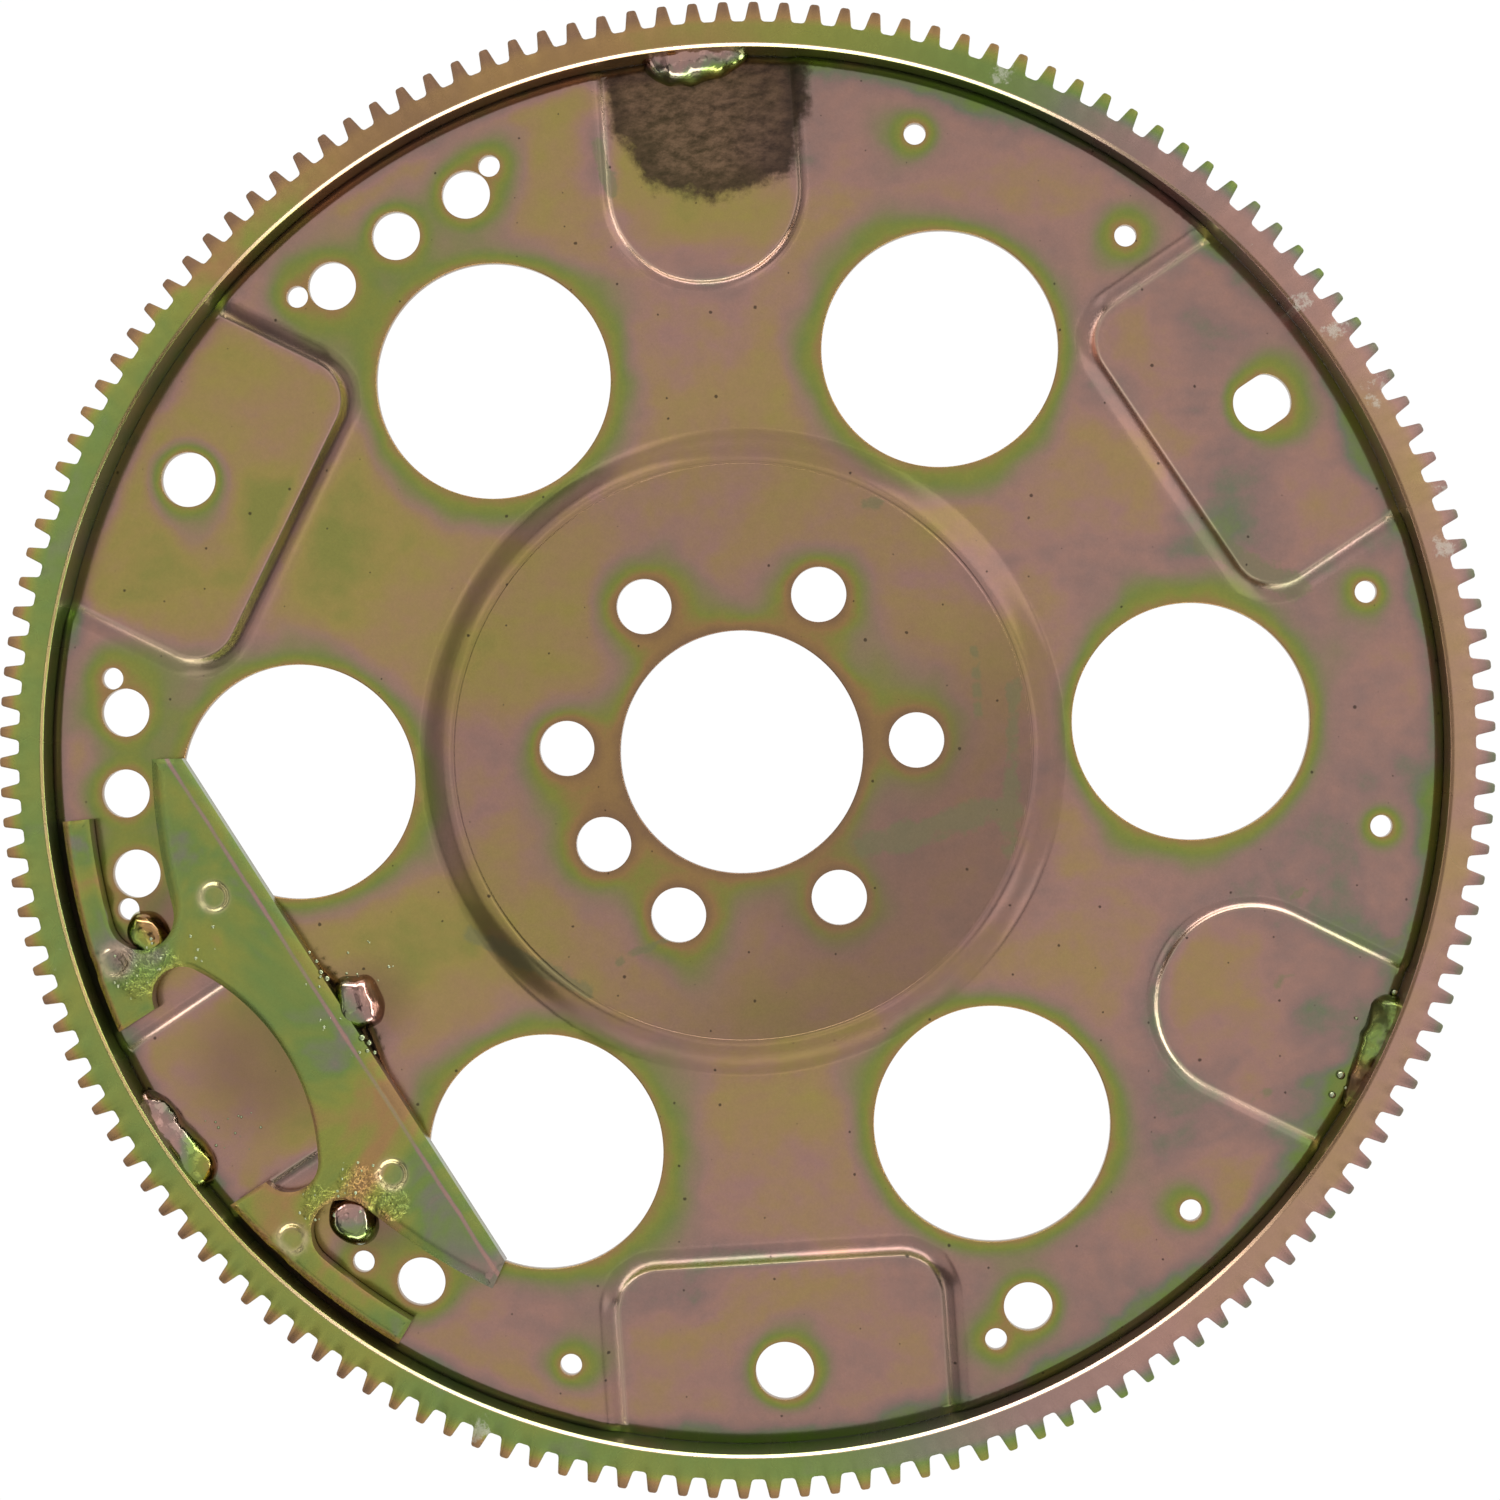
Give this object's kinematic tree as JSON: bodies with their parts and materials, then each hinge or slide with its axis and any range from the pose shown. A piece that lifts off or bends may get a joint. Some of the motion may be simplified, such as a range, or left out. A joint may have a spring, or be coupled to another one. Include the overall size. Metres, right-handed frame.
{
  "type": "flexplate",
  "caption": "Pressed steel flexplate with a toothed starter ring, sunken converter pads, a drilled crank hub, lightening holes and a welded balance weight, in yellow zinc plating.",
  "frame": {"origin": "on the axis, at the backs of the converter pads on which the part rests", "axes": "+Z along the axis towards the side with the balance weight; a lightening hole lies on +X and a weld relief on +Y"},
  "size_m": [0.3238, 0.3238, 0.0126],
  "materials": {
    "plated_sheet": "yellow zinc plating with mauve and green blotches",
    "plated_ring": "yellow zinc plating, greenish towards the bore",
    "plated_weight": "greenish yellow zinc plating",
    "weld_metal": "rippled weld with a pink and green sheen"
  },
  "bodies": {
    "root": {"flexplate_disc": "plated_sheet", "ring_gear": "plated_ring", "balance_weight": "plated_weight", "ring_weld_top": "weld_metal", "ring_weld_left": "weld_metal", "ring_weld_right": "weld_metal", "weight_weld_inner": "weld_metal", "weight_weld_upper": "weld_metal", "weight_weld_lower": "weld_metal"}
  },
  "joints": []
}
